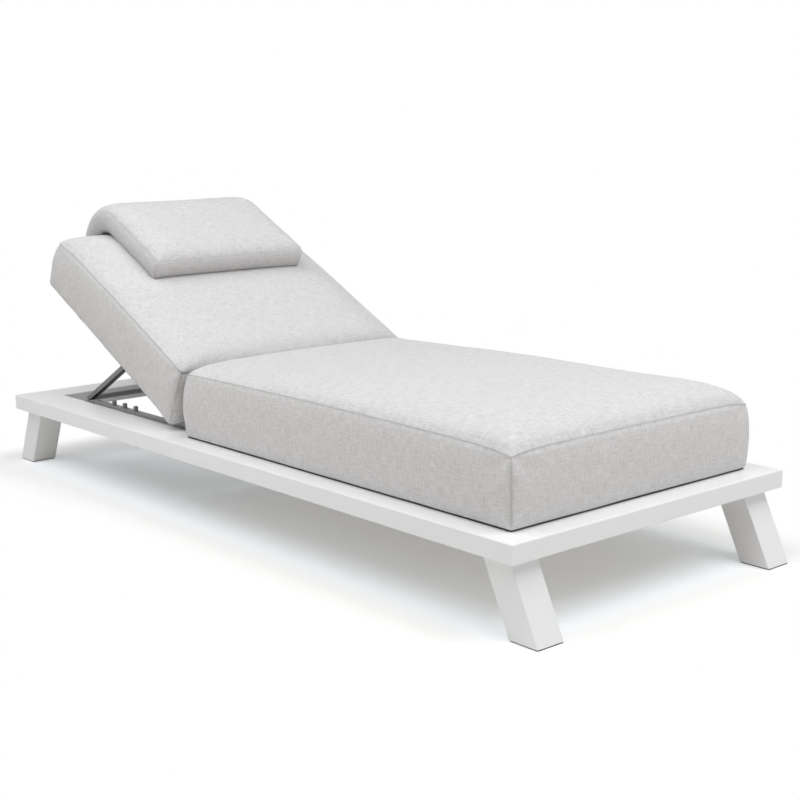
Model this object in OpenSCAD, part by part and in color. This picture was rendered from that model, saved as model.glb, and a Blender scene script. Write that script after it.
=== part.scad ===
// Relaxation lounger: a low steel platform on splayed legs, a fixed seat cushion,
// a back section that tilts on two hinge pins and stands on a folding prop, and a
// head pillow that hooks over the back. Millimetres, +Z up, +X towards the foot end,
// origin on the floor under the middle of the platform.

/* [Platform] */
// Length of the platform
platform_l = 2000; // [1850:10:2150]
// Width of the platform
platform_w = 810; // [780:5:880]
// Height of the platform's top face above the floor
platform_h = 195; // [175:5:280]
// Width of the rail tubes, seen from above
rail_w = 100; // [90:1:105]
// Depth of the rail tubes, from top face to bottom face
rail_d = 40; // [34:1:46]
// Wall of the rail tubes
rail_wall = 2.5; // [2:0.5:4]
// Outer corner radius of the rail tubes
rail_r = 3; // [2:0.5:5]

/* [Legs] */
// Width of a leg tube, across the lounger
leg_w = 70; // [60:1:76]
// Depth of a leg tube, square to its own axis
leg_d = 68; // [58:1:74]
// Wall of a leg tube
leg_wall = 3; // [2:0.5:5]
// Outer corner radius of a leg tube
leg_r = 3; // [2:0.5:6]
// Lean of a leg towards its end of the platform, in degrees
leg_lean = 25; // [15:1:28]
// How far a foot reaches past the end of the platform
leg_reach = 41; // [20:1:50]
// Inset of the legs from the platform's sides
leg_inset = 24; // [18:1:28]
// How far a leg's mounting plate reaches past the leg, towards the middle of the lounger
plate_lip = 16; // [15:1:24]
// How far a leg's mounting plate reaches past the leg's sides
plate_side = 2.5; // [0.5:0.5:6]
// Thickness of a leg's mounting plate
plate_t = 8; // [5:0.5:10]
// Thickness of the glide under a leg
glide_t = 2.5; // [2:0.5:6]
// Height of the glide's plug inside the leg tube
glide_plug_h = 14; // [8:1:25]
// Diameter of the leg bolts
leg_bolt_d = 6; // [5:0.5:8]
// Spacing of the leg bolts across the lounger
leg_bolt_pitch = 40; // [36:1:42]
// Distance of the outer leg bolts from the end of the mounting plate's lip
leg_bolt_edge = 8.5; // [8:0.5:10]
// Distance of the bolts inside a leg tube past the tube's axis
leg_bolt_in = 5; // [0:1:8]

/* [Seat] */
// Distance of the seat cushion from the hinge axis
seat_from_hinge = 79.4; // [72:0.2:95]
// Inset of the seat cushion from the platform's sides
seat_side_inset = 52; // [45:1:80]
// Inset of the seat cushion from the foot end of the platform
seat_inset = 55; // [40:1:90]
// Height of the seat cushion's side, up to its seam
seat_side_h = 150; // [110:2:170]
// Thickness of the anti-slip mat under the seat cushion
mat_t = 1.5; // [1:0.5:4]
// Inset of the mat from the cushion's edge
mat_inset = 3; // [2:1:12]
// Thickness of the seat board
board_t = 9; // [6:1:14]
// Width of the seat's cross bars
cross_bar_w = 40; // [30:1:50]
// Depth of the seat's cross bars
cross_bar_d = 20; // [16:1:25]
// Number of cross bars under the seat board
cross_bars = 3; // [2:1:5]

/* [Cushion form] */
// Rise of a cushion's crown above its side seams
crown_h = 44; // [30:1:60]
// Distance from the seam in which most of the crown rises
crown_run = 40; // [20:1:50]
// Roundness of the crown: lower rises faster at the seam
crown_shape = 0.85; // [0.6:0.05:1.2]
// Rise of the crown at a cushion's hinge end, where it arches over to the end
hinge_crown = 31; // [15:1:44]
// Distance from the side seams in which most of the crown rises at the hinge end
hinge_run = 60; // [20:1:80]
// Share of a cushion's length over which the crown grows to its full rise
hinge_reach = 0.53; // [0.2:0.01:0.8]
// Length over which the seat cushion's top rolls down at its hinge end
seat_roll_l = 28; // [10:1:40]
// Height by which the seat cushion's top rolls down at its hinge end
seat_roll_h = 53; // [10:1:70]
// Length and height of the back cushion's firmer top edge at its hinge end
back_roll = 5; // [2:1:12]
// Length over which the back cushion's crown dips towards its hinge end
back_dip_l = 60; // [20:1:80]
// Share of the crown that is gone at the back cushion's hinge end
back_dip = 0.5; // [0:0.05:0.6]
// Share of the crown that rises right at the seam, as a tight shoulder
shoulder = 0.15; // [0:0.01:0.3]
// Run of that shoulder
shoulder_run = 6; // [3:1:12]
// How much higher the side seam runs at a cushion's hinge end
seam_rise = 8.5; // [0:0.5:12]
// Drop of the seam at a cushion's outer corners, away from the hinge
corner_drop = 10; // [0:1:18]
// Drop of the seam at the corners beside the hinge
hinge_drop = 3; // [0:1:18]
// Length over which the seam drops towards a corner
corner_run = 48; // [30:1:60]
// Outward swell of a cushion's sides at half height
side_swell = 7; // [2:0.5:9]
// How far a cushion's sides are drawn in between its corners
side_draw = 2; // [0:0.5:7]
// Corner radius of a cushion, seen from above
cushion_r = 11; // [8:1:40]
// Radius of a cushion's bottom edge
cushion_edge_r = 6; // [3:0.5:9]

/* [Back section] */
// Tilt of the back section as it stands, in degrees
back_angle = 26.3; // [20:0.5:35]
// Height of the hinge axis above the platform's top face
hinge_rise = 1; // [0:0.5:2]
// Length of the back cushion
back_l = 675.5; // [645:0.5:700]
// How much narrower the back cushion is than the seat cushion
back_narrower = 8; // [0:1:30]
// Lean of the back cushion's head end, from its bottom edge to its seam
back_lean = 14; // [0:1:20]
// Height of the back cushion's side, up to its seam
back_side_h = 143; // [110:1:155]
// Distance of the back cushion's lower end from the hinge axis
back_start = 5.2; // [3:0.1:12]
// How far the back frame stops short of the cushion's head end
frame_short = 3.7; // [1:0.1:14]
// Width of the back frame's bars
bar_w = 22; // [18:1:26]
// Depth of the back frame's bars
bar_d = 12; // [11:0.5:13]
// Wall of the back frame's bars
bar_wall = 2; // [1.5:0.5:2.5]
// Height of the side bars above the hinge axis, with the back flat
bar_rise = 8.5; // [8.5:0.5:10]
// Start of the side bars, measured from the hinge axis
bar_start = 14; // [13:0.5:20]
// Width of the slats that carry the back cushion
slat_w = 60; // [40:2:80]
// Thickness of the slats
slat_t = 6; // [4:0.5:7]
// Number of slats on each side of the prop's pivot
slats = 2; // [1:1:3]
// Diameter of the rubber bumpers under the head bar
bumper_d = 18; // [12:1:22]
// Distance of each bumper from the middle, as a share of half the frame's width
bumper_share = 0.69; // [0.3:0.01:0.85]

/* [Hinges] */
// Diameter of the hinge pins
hinge_pin_d = 10; // [8:0.5:12]
// Outer diameter of the hinge bushes
bush_d = 14; // [13:0.5:16]
// Outer radius of the hinge ears and cheeks
ear_r = 12; // [11:0.5:12.5]
// Thickness of a hinge ear
ear_t = 5; // [4:0.5:6]
// Length of a hinge ear along the side bar
ear_l = 60; // [40:1:90]
// Thickness of a hinge cheek
cheek_t = 6; // [4:0.5:7]
// Side gap between an ear and a cheek
ear_gap = 1; // [0.5:0.1:1.5]
// Distance from the hinge axis to the hinge beam
beam_from_hinge = 25.4; // [22:0.2:30]
// Width of the hinge beam
beam_w = 40; // [30:1:42]
// Depth of the hinge beam
beam_d = 25; // [20:1:30]

/* [Prop] */
// Distance from the hinge axis to the prop's pivot, and from there to its foot
link_l = 309; // [300:1:315]
// Gap between the foot bar and the head rail, with the back flat
flat_gap = 17.8; // [10:0.1:40]
// Height of the prop's pivot above the hinge axis, with the back flat
pivot_rise = 14.5; // [14.5:0.1:15]
// Width of a prop arm, a channel that is open underneath
arm_w = 20; // [16:0.5:21]
// Depth of a prop arm
arm_d = 12; // [11:0.5:12]
// Wall of a prop arm
arm_wall = 2; // [1.5:0.5:3]
// Gap between the prop arms and the back frame
arm_gap = 1; // [0.5:0.1:1.5]
// How far an arm runs past the centre of its foot
arm_past = 4.5; // [3:0.5:4.5]
// Diameter of the foot bar
foot_bar_d = 15; // [12:0.5:15]
// Diameter of the prop's pivot pins
pivot_pin_d = 8; // [6:0.5:8]

/* [Rack] */
// Width of the rack tubes
rack_w = 20; // [16:0.5:21]
// Depth of the rack tubes
rack_d = 40; // [30:1:46]
// How far the racks stand above the platform
rack_proud = 8; // [6:0.5:8]
// Reach of the racks from the hinge axis towards the head
rack_reach = 468; // [420:1:480]
// Reach of the racks from the hinge axis towards the foot end
rack_back = 52; // [46:0.5:54]
// Diameter of the pegs
peg_d = 12.5; // [9:0.5:13]
// Height of the pegs above the rack
peg_h = 13; // [8:0.5:13]
// Distance of the first peg from the hinge axis
peg_first = 256; // [248:1:280]
// Spacing of the pegs
peg_pitch = 57; // [45:1:62]
// Number of pegs on each rack
pegs = 3; // [2:1:4]
// Thickness of the slide ledges that carry the foot of the prop
ledge_t = 4; // [3:0.5:5]
// Width of the slide ledges, from the racks to the back frame's sides
ledge_w = 23; // [22:0.5:26]
// Length of the end block beyond each rack
end_block_l = 18; // [10:1:24]
// Gap between a rack and its end block
end_block_gap = 4; // [2:0.5:6]

/* [Head pillow] */
// Width of the head pillow, as a share of the back cushion's width
pillow_share = 0.668; // [0.5:0.01:0.8]
// Thickness of the head pillow at its seams
pillow_t = 49; // [36:1:60]
// Rise of the pillow's top between its seams
pillow_crown = 25; // [10:1:32]
// How much thicker the pillow is where it lies on the back, as a share
pillow_fill = 0.06; // [0:0.01:0.2]
// How much thicker the pillow bunches up at its bend, as a share
pillow_bunch = 0.07; // [0:0.01:0.2]
// Distance of the pillow's front edge from the hinge axis
pillow_start = 367; // [340:1:400]
// Inner radius of the pillow's bend over the end of the back
pillow_bend_r = 74; // [66:0.5:84]
// Length of the flap that hangs behind the back
pillow_flap = 90; // [50:2:110]

/* [Hidden] */

// Colours
white = [0.92, 0.92, 0.91];
grey = [0.36, 0.36, 0.37];
cloth = [0.80, 0.79, 0.78];
dark = [0.12, 0.12, 0.12];
steel = [0.70, 0.70, 0.72];
ply = [0.72, 0.58, 0.42];

// Fineness of round parts
$fn = 48;
// Overrun of a cut past the face it goes through
over = 1;
// Radial clearance of a pin or screw in its hole
fit = 0.05;
// Clearance between soft and hard pieces that don't touch
soft_gap = 0.3;
// Clearance of the bumpers over the head rail, with the back flat
bumper_gap = 0.3;
// Clearance between sheet parts and the rails beside them
sheet_gap = 0.5;

// Platform
rail_z = platform_h - rail_d;
rail_in = platform_w / 2 - rail_w;
head_in = platform_l / 2 - rail_w;

// Legs
leg_cut = leg_d / cos(leg_lean);
leg_foot_x = platform_l / 2 + leg_reach - leg_cut / 2;
leg_y = platform_w / 2 - leg_inset - leg_w / 2;
plate_z = rail_z - plate_t;
leg_top_x = leg_foot_x - plate_z * tan(leg_lean);
plate_l = leg_cut + plate_lip;
plate_w = leg_w + 2 * plate_side;
plate_x = leg_top_x - plate_lip / 2;
bolt_rows = [plate_x - plate_l / 2 + leg_bolt_edge, leg_top_x + leg_bolt_in];
bolt_head_d = 1.75 * leg_bolt_d;
bolt_head_h = 0.55 * leg_bolt_d;
nut_af = 1.67 * leg_bolt_d;
nut_h = 0.9 * leg_bolt_d;

// Hinge axis, and the back section's own frame: u along it, w square to it
pivot_angle = asin(pivot_rise / link_l);
hinge_x = 2 * link_l * cos(pivot_angle) + foot_bar_d / 2 + flat_gap - head_in;
hinge_z = platform_h + hinge_rise;
back_frame_l = back_start + back_l - frame_short;
bar_top = bar_rise + bar_d;
rack_in = rail_in - rack_w;
frame_y = rack_in - ledge_w;
bumper_y = bumper_share * frame_y;
cushion_w0 = bar_top + soft_gap;
pivot_u = sqrt(link_l * link_l - pivot_rise * pivot_rise);
prop_angle = back_angle + pivot_angle;

// Seat
seat_foot_x = platform_l / 2 - seat_inset;
seat_head_x = hinge_x + seat_from_hinge;
seat_l = seat_foot_x - seat_head_x;
seat_w = platform_w - 2 * seat_side_inset;
back_w = seat_w - back_narrower;
seat_z = platform_h + mat_t;
board_z = platform_h - board_t;

// Hinges, from the middle outwards
ear_in = frame_y;
ear_out = ear_in + ear_t;
cheek_out = ear_out + ear_gap;
cheek_in = ear_in - ear_gap;
beam_x = hinge_x + beam_from_hinge;
beam_z = rail_z + rail_wall;
pin_head_t = 0.3 * hinge_pin_d;
pin_head_d = 1.5 * hinge_pin_d;
clip_t = 0.2 * hinge_pin_d;
bush_gap = 0.2 * ear_gap;

// Prop
arm_in = frame_y + arm_gap;
arm_out = arm_in + arm_w;
foot_x = hinge_x - 2 * link_l * cos(prop_angle);
pivot_head_t = 0.3 * pivot_pin_d;
pivot_head_d = 0.97 * arm_d;
pivot_clip_t = 0.2 * pivot_pin_d;

// Rack
rack_z = platform_h + rack_proud - rack_d;
rack_top = rack_z + rack_d;
rack_x0 = hinge_x - rack_reach;
rack_x1 = hinge_x + rack_back;
ledge_top = hinge_z - foot_bar_d / 2 - 1.5 * soft_gap;
ledge_x0 = foot_x - foot_bar_d;
ledge_x1 = hinge_x - peg_first + 2 * peg_d;

// Head pillow, in the back section's frame
pillow_w = pillow_share * back_w;
pillow_gap = 2 * soft_gap;
pillow_w0 = cushion_w0 + back_side_h + crown_h + pillow_gap;
pillow_turn = 90 - atan(back_lean / back_side_h);
pillow_w1 = pillow_w0 - pillow_bend_r * (1 - cos(pillow_turn));
pillow_u1 = back_start + back_l + side_swell + pillow_gap
    + back_lean * (0.5 - (pillow_w1 - cushion_w0) / back_side_h);
pillow_bend_u = pillow_u1 - pillow_bend_r * sin(pillow_turn);

// A rectangle with round corners, centred
module round_rect(w, d, r) {
    square([w - 2 * r, d], center = true);
    square([w, d - 2 * r], center = true);
    for (x = [-1, 1], y = [-1, 1])
        translate([x * (w / 2 - r), y * (d / 2 - r)])
            circle(r);
}

// The outline of a rectangular tube, centred
module tube_outline(w, d, wall, r) {
    difference() {
        round_rect(w, d, r);
        square([w - 2 * wall, d - 2 * wall], center = true);
    }
}

// A tube along X from the origin, its outline given as width across Y and depth in Z
module tube_x(l, w, d, wall, r) {
    rotate([90, 0, 90])
        linear_extrude(l)
            tube_outline(w, d, wall, r);
}

// Children on the near side as drawn, or mirrored to the far side
module on_side(far) {
    if (far)
        mirror([0, 1, 0])
            children();
    else
        children();
}

// Children at the foot end as drawn, or mirrored to the head end
module at_end(head) {
    if (head)
        mirror([1, 0, 0])
            children();
    else
        children();
}

// Children drawn in the back section's frame: X along it from the hinge, Z square to it
module in_back() {
    translate([hinge_x, 0, hinge_z])
        rotate([0, back_angle, 0])
            mirror([1, 0, 0])
                children();
}

// Children drawn in the prop's frame: X from its pivot to its foot, Z square to the arms
module in_prop() {
    in_back()
        translate([pivot_u, 0, pivot_rise])
            mirror([1, 0, 0])
                rotate([0, -back_angle, 0])
                    rotate([0, -prop_angle, 0])
                        mirror([1, 0, 0])
                            children();
}

// A cylinder along Y between two distances from the middle, on the near side
module pin_y(d, from, to) {
    translate([0, -from, 0])
        rotate([90, 0, 0])
            cylinder(h = to - from, d = d);
}

// Clearance holes for the leg bolts at all four legs
module leg_bolt_places() {
    for (sx = [-1, 1], sy = [-1, 1], bolt_x = bolt_rows, dy = [-1, 1])
        translate([sx * bolt_x, sy * (leg_y + dy * leg_bolt_pitch / 2), 0])
            children();
}

module leg_bolt_holes() {
    leg_bolt_places()
        translate([0, 0, plate_z - over])
            cylinder(h = plate_t + rail_wall + 2 * over, d = leg_bolt_d + 2 * fit);
}

// Long rail on the near side, mitred at both ends
module long_rail() {
    x0 = platform_l / 2;
    y0 = platform_w / 2;
    color(white)
        difference() {
            intersection() {
                translate([-x0, -y0 + rail_w / 2, rail_z + rail_d / 2])
                    tube_x(platform_l, rail_w, rail_d, rail_wall, rail_r);
                translate([0, 0, rail_z])
                    linear_extrude(rail_d)
                        polygon([[-x0, -y0], [x0, -y0], [head_in, -rail_in], [-head_in, -rail_in]]);
            }
            leg_bolt_holes();
        }
}

// Short rail at the foot end, mitred at both ends
module short_rail() {
    x0 = platform_l / 2;
    y0 = platform_w / 2;
    color(white)
        difference() {
            intersection() {
                translate([x0 - rail_w / 2, y0, rail_z + rail_d / 2])
                    rotate([90, 0, 0])
                        linear_extrude(platform_w)
                            tube_outline(rail_w, rail_d, rail_wall, rail_r);
                translate([0, 0, rail_z])
                    linear_extrude(rail_d)
                        polygon([[x0, -y0], [x0, y0], [head_in, rail_in], [head_in, -rail_in]]);
            }
            leg_bolt_holes();
        }
}

// A leaning prism through the middle of the near foot-end foot, between two heights
module leg_prism(d, w, r, z0, z1) {
    intersection() {
        translate([leg_foot_x, -leg_y, 0])
            rotate([0, -leg_lean, 0])
                translate([0, 0, -platform_h])
                    linear_extrude(3 * platform_h)
                        round_rect(d, w, r);
        translate([0, -platform_w, z0])
            cube([platform_l, platform_w, z1 - z0]);
    }
}

module leg() {
    color(white)
        difference() {
            leg_prism(leg_d, leg_w, leg_r, glide_t, plate_z);
            leg_prism(leg_d - 2 * leg_wall, leg_w - 2 * leg_wall, leg_r / 2, 0, rail_z);
        }
}

module leg_plate() {
    color(white)
        difference() {
            translate([plate_x, -leg_y, plate_z])
                linear_extrude(plate_t)
                    round_rect(plate_l, plate_w, leg_r);
            leg_bolt_holes();
        }
}

// Plastic glide: a sole under the leg and a plug up into its tube
module glide() {
    plug_gap = 2 * fit;
    color(dark) {
        leg_prism(leg_d - leg_wall, leg_w - leg_wall, leg_r, 0, glide_t);
        leg_prism(leg_d - 2 * (leg_wall + plug_gap), leg_w - 2 * (leg_wall + plug_gap),
            leg_r / 2, 0, glide_t + glide_plug_h);
    }
}

module leg_bolts() {
    shank_top = rail_z + rail_wall + nut_h + over;
    color(steel)
        leg_bolt_places() {
            translate([0, 0, plate_z - bolt_head_h])
                cylinder(h = bolt_head_h, d = bolt_head_d);
            translate([0, 0, plate_z - bolt_head_h / 2])
                cylinder(h = shank_top - plate_z + bolt_head_h / 2, d = leg_bolt_d);
        }
}

module leg_nuts() {
    color(steel)
        leg_bolt_places()
            translate([0, 0, rail_z + rail_wall])
                difference() {
                    cylinder(h = nut_h, d = nut_af / cos(30), $fn = 6);
                    translate([0, 0, -over])
                        cylinder(h = nut_h + 2 * over, d = leg_bolt_d + 2 * fit);
                }
}

// Beam between the racks that carries the hinges
module hinge_beam() {
    color(grey)
        translate([beam_x + beam_w / 2, rack_in, beam_z + beam_d / 2])
            rotate([90, 0, 0])
                linear_extrude(2 * rack_in)
                    tube_outline(beam_w, beam_d, bar_wall, bar_wall);
}

module seat_cross_bars() {
    x0 = beam_x + beam_w;
    pitch = (head_in - x0) / (cross_bars + 1);
    color(white)
        for (i = [1 : cross_bars])
            translate([x0 + i * pitch, rail_in, board_z - cross_bar_d / 2])
                rotate([90, 0, 0])
                    linear_extrude(2 * rail_in)
                        tube_outline(cross_bar_w, cross_bar_d, bar_wall, bar_wall);
}

module seat_board() {
    x0 = beam_x + beam_w + sheet_gap;
    color(ply)
        translate([x0, -rail_in + sheet_gap, board_z])
            cube([head_in - sheet_gap - x0, 2 * (rail_in - sheet_gap), board_t]);
}

module seat_mat() {
    inset = mat_inset + side_draw;
    color(dark)
        translate([seat_head_x + seat_l / 2, 0, platform_h])
            linear_extrude(mat_t)
                round_rect(seat_l - 2 * inset, seat_w - 2 * inset, cushion_r);
}

// Points of a cushion's outline, counter-clockwise: four arcs with the sides between.
// Each point is [x, y, how much of the corner's drop it takes, whether it is on the
// hinge end].
arc_steps = 5;
side_shares = [0.03, 0.08, 0.16, 0.3, 0.5, 0.7, 0.84, 0.92, 0.97];
function corner_at(k, hx, hy, r) = [
    (k == 0 || k == 3 ? 1 : -1) * (hx - r),
    (k < 2 ? 1 : -1) * (hy - r)
];
function arc_point(k, j, hx, hy, r) =
    corner_at(k, hx, hy, r) + r * [cos(90 * (k + j / arc_steps)), sin(90 * (k + j / arc_steps))];
function side_point(k, t, hx, hy, r, draw) = let (
    a = arc_point(k, arc_steps, hx, hy, r),
    b = arc_point((k + 1) % 4, 0, hx, hy, r),
    inward = -[cos(90 * (k + 1)), sin(90 * (k + 1))],
    p = a + (b - a) * t + inward * draw * 4 * t * (1 - t)
) [p[0], p[1], exp(-norm(b - a) * min(t, 1 - t) / corner_run), k == 1];
function cushion_outline(hx, hy, r, draw) = [
    for (k = [0 : 3]) each concat(
        [
            for (j = [0 : arc_steps])
                let (p = arc_point(k, j, hx, hy, r)) [p[0], p[1], 1, k == 1 || k == 2]
        ],
        [for (t = side_shares) side_point(k, t, hx, hy, r, draw)]
    )
];
// How much of the seam's rise there is at a share of the way from the hinge end
function seam_lift(t) = 1 - pow(max(t - 0.35, 0) / 0.65, 2);
// How much the crown still has to grow at a share of the way from the hinge end
function crown_short(t) = pow(max(1 - t / hinge_reach, 0), 1.5);
// Full rise of the crown at a share of the way from the hinge end
function crown_full(t) = crown_h - (crown_h - hinge_crown) * crown_short(t);
// How much of the crown's rise is left to come at a distance from the seam
function crown_left(d, t) =
    (1 - shoulder) * exp(-pow(d / (crown_run + (hinge_run - crown_run) * crown_short(t)), crown_shape))
    + shoulder * exp(-d / shoulder_run);
// Insets of the crown's rings from the seam, as shares of half the cushion's width
crown_shares = [0.015, 0.04, 0.08, 0.14, 0.23, 0.36, 0.54, 0.78];

// A crowned cushion from X = 0 to l with its base on Z = 0 and its hinge end at X = 0
module cushion(l, w, side_h, lean, roll_l, roll_h, dip) {
    hy = w / 2;
    // Rings as [inset, height, share of the top's rise taken]
    side_rings = [
        [cushion_edge_r, 0, 0],
        [cushion_edge_r / 4, cushion_edge_r / 2, 0],
        [0, cushion_edge_r, 0],
        [-side_swell * 0.7, side_h * 0.25, 0],
        [-side_swell, side_h * 0.5, 0.3],
        [-side_swell * 0.8, side_h * 0.78, 0.7],
        [0, side_h, 1]
    ];
    crown_rings = [for (s = crown_shares) [s * hy, side_h, 1]];
    rings = concat(side_rings, crown_rings);
    ring_points = [
        for (ring = rings) let (
            d = ring[0],
            r = min(cushion_r + 0.4 * max(d, 0), hy - d - over)
        ) [
            for (p = cushion_outline(l / 2 - d, hy - d, r, side_draw * max(0, 1 - d / hy))) let (
                x = p[0] + l / 2,
                t = max(x, 0) / l,
                left = crown_left(p[3] ? max(hy - abs(p[1]), 0) : max(d, 0), t),
                seam = seam_rise * seam_lift(t) - (p[0] > 0 ? corner_drop : hinge_drop) * p[2],
                roll = roll_h * pow(max(1 - max(x, 0) / roll_l, 0), 2),
                full = crown_full(t) * (1 - dip * pow(max(1 - max(x, 0) / back_dip_l, 0), 2)),
                z = ring[1] + (full * (1 - left) + seam * left - roll) * ring[2]
            ) [x * (1 + lean * (0.5 - z / side_h) / l), p[1], z]
        ]
    ];
    n = len(ring_points[0]);
    last = len(rings) - 1;
    base = [[l / 2, 0, 0]];
    peak = [[l / 2, 0, side_h + crown_full(0.5)]];
    points = concat([for (ring = ring_points) each ring], base, peak);
    base_i = n * (last + 1);
    sides = [
        for (i = [0 : last - 1], j = [0 : n - 1]) let (
            a = i * n + j,
            b = i * n + (j + 1) % n
        ) each [[a, a + n, b + n], [a, b + n, b]]
    ];
    ends = [
        for (j = [0 : n - 1]) let (k = (j + 1) % n)
            each [[base_i, j, k], [base_i + 1, last * n + k, last * n + j]]
    ];
    polyhedron(points, concat(sides, ends), convexity = 4);
}

// The seat cushion's hinge end is its head end, so it runs the way X does
module seat_cushion() {
    color(cloth)
        translate([seat_head_x, 0, seat_z])
            cushion(seat_l, seat_w, seat_side_h, 0, seat_roll_l, seat_roll_h, 0);
}

module back_cushion() {
    color(cloth)
        in_back()
            translate([back_start, 0, cushion_w0])
                cushion(back_l, back_w, back_side_h, back_lean, back_roll, back_roll, back_dip);
}

// Rack tube beside the near rail
module rack() {
    color(grey)
        translate([rack_x0, -rack_in - rack_w / 2, rack_z + rack_d / 2])
            tube_x(rack_x1 - rack_x0, rack_w, rack_d, bar_wall, bar_wall);
}

// Pegs on both racks, with domed tops
module rack_pegs() {
    dome = peg_d / 8;
    color(grey)
        for (side = [-1, 1], i = [0 : pegs - 1])
            translate([hinge_x - peg_first - i * peg_pitch, side * (rack_in + rack_w / 2), rack_top])
                rotate_extrude()
                    polygon([
                        [0, 0],
                        [peg_d / 2, 0],
                        [peg_d / 2, peg_h - dome],
                        [peg_d / 2 - dome, peg_h],
                        [0, peg_h]
                    ]);
}

// Short blocks beyond the racks, on the rails' inner faces
module rack_end_blocks() {
    color(grey)
        for (side = [-1, 1])
            translate([
                rack_x0 - end_block_gap - end_block_l,
                side * (rack_in + rack_w / 2) - rack_w / 2,
                rack_z
            ])
                cube([end_block_l, rack_w, rack_d - ledge_t / 2]);
}

// Angle on the near rack that the foot of the prop slides on
module slide_ledge() {
    depth = rack_d / 2;
    color(grey) {
        translate([ledge_x0, -rack_in, ledge_top - ledge_t])
            cube([ledge_x1 - ledge_x0, ledge_w, ledge_t]);
        translate([ledge_x0, -rack_in, ledge_top - depth])
            cube([ledge_x1 - ledge_x0, ledge_t, depth]);
    }
}

// Pair of cheeks on the hinge beam, one each side of the near ear
module hinge_cheeks() {
    color(grey)
        for (y = [cheek_out, cheek_in - cheek_t])
            difference() {
                union() {
                    translate([hinge_x, 0, hinge_z])
                        pin_y(2 * ear_r, y, y + cheek_t);
                    translate([hinge_x, -y - cheek_t, beam_z])
                        cube([beam_from_hinge, cheek_t, hinge_z + ear_r - beam_z - ear_r / 2]);
                    translate([hinge_x - ear_r, -y - cheek_t, beam_z + beam_d / 2])
                        cube([ear_r, cheek_t, hinge_z - beam_z - beam_d / 2]);
                }
                translate([hinge_x, 0, hinge_z])
                    pin_y(hinge_pin_d + 2 * fit, y - over, y + cheek_t + over);
            }
}

// Hinge pins with a head outside and a clip inside
module hinge_pins() {
    outer = cheek_out + cheek_t;
    inner = cheek_in - cheek_t - 2 * clip_t;
    color(steel)
        for (far = [false, true])
            on_side(far)
                translate([hinge_x, 0, hinge_z]) {
                    pin_y(hinge_pin_d, inner, outer + pin_head_t);
                    pin_y(pin_head_d, outer, outer + pin_head_t);
                }
}

module hinge_pin_clips() {
    outer = cheek_in - cheek_t;
    color(steel)
        for (far = [false, true])
            on_side(far)
                translate([hinge_x, 0, hinge_z])
                    difference() {
                        pin_y(pin_head_d, outer - clip_t, outer);
                        pin_y(hinge_pin_d + 2 * fit, outer - clip_t - over, outer + over);
                    }
}

// Side bar of the back frame, drilled for the prop's pivot pin
module back_bar() {
    color(grey)
        in_back()
            difference() {
                translate([bar_start, -frame_y + bar_w / 2, bar_rise + bar_d / 2])
                    tube_x(back_frame_l - bar_start, bar_w, bar_d, bar_wall, bar_wall);
                translate([pivot_u, 0, pivot_rise])
                    pin_y(pivot_pin_d + 2 * fit, frame_y - bar_w - over, frame_y + over);
            }
}

// Cross bar of the back frame between its side bars
module back_cross_bar(u) {
    inner = frame_y - bar_w;
    color(grey)
        in_back()
            translate([u + bar_w / 2, inner, bar_rise + bar_d / 2])
                rotate([90, 0, 0])
                    linear_extrude(2 * inner)
                        tube_outline(bar_w, bar_d, bar_wall, bar_wall);
}

// Slats in even spacing between two distances from the hinge axis
module slat_row(from, to, count) {
    inner = frame_y - bar_w;
    gap = (to - from - count * slat_w) / (count + 1);
    translate([from, -inner, bar_top - slat_t])
        for (i = [0 : count - 1])
            translate([gap + i * (gap + slat_w), 0, 0])
                cube([slat_w, 2 * inner, slat_t]);
}

// Two rows of slats, with room between them for the prop's pivot pins
module back_slats() {
    room = pivot_head_d / 2;
    color(grey)
        in_back() {
            slat_row(bar_start + bar_w, pivot_u - room, slats);
            slat_row(pivot_u + room, back_frame_l - bar_w, slats);
        }
}

// Ear on the outer face of the near side bar, bored for its bush
module hinge_ear() {
    color(grey)
        in_back()
            difference() {
                union() {
                    pin_y(2 * ear_r, ear_in, ear_out);
                    translate([0, -ear_out, 0])
                        cube([ear_l, ear_t, bar_top]);
                }
                pin_y(bush_d, ear_in - over, ear_out + over);
            }
}

module hinge_bushes() {
    from = ear_in - ear_gap + bush_gap;
    to = ear_out + ear_gap - bush_gap;
    color(dark)
        in_back()
            for (far = [false, true])
                on_side(far)
                    difference() {
                        pin_y(bush_d, from, to);
                        pin_y(hinge_pin_d + 2 * fit, from - over, to + over);
                    }
}

// Bumpers under the head bar, which land on the head rail when the back lies flat
module back_bumpers() {
    low = bumper_gap - hinge_rise;
    color(dark)
        in_back()
            for (side = [-1, 1])
                translate([back_frame_l - bar_w / 2, side * bumper_y, low])
                    cylinder(h = bar_rise - low, d = bumper_d);
}

module prop_pivot_pins() {
    inner = frame_y - bar_w - 2 * pivot_clip_t;
    color(steel)
        in_back()
            for (far = [false, true])
                on_side(far)
                    translate([pivot_u, 0, pivot_rise]) {
                        pin_y(pivot_pin_d, inner, arm_out + fit + pivot_head_t);
                        pin_y(pivot_head_d, arm_out + fit, arm_out + fit + pivot_head_t);
                    }
}

module prop_pivot_clips() {
    outer = frame_y - bar_w;
    color(steel)
        in_back()
            for (far = [false, true])
                on_side(far)
                    translate([pivot_u, 0, pivot_rise])
                        difference() {
                            pin_y(pivot_head_d, outer - pivot_clip_t, outer);
                            pin_y(pivot_pin_d + 2 * fit, outer - pivot_clip_t - over, outer + over);
                        }
}

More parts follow.
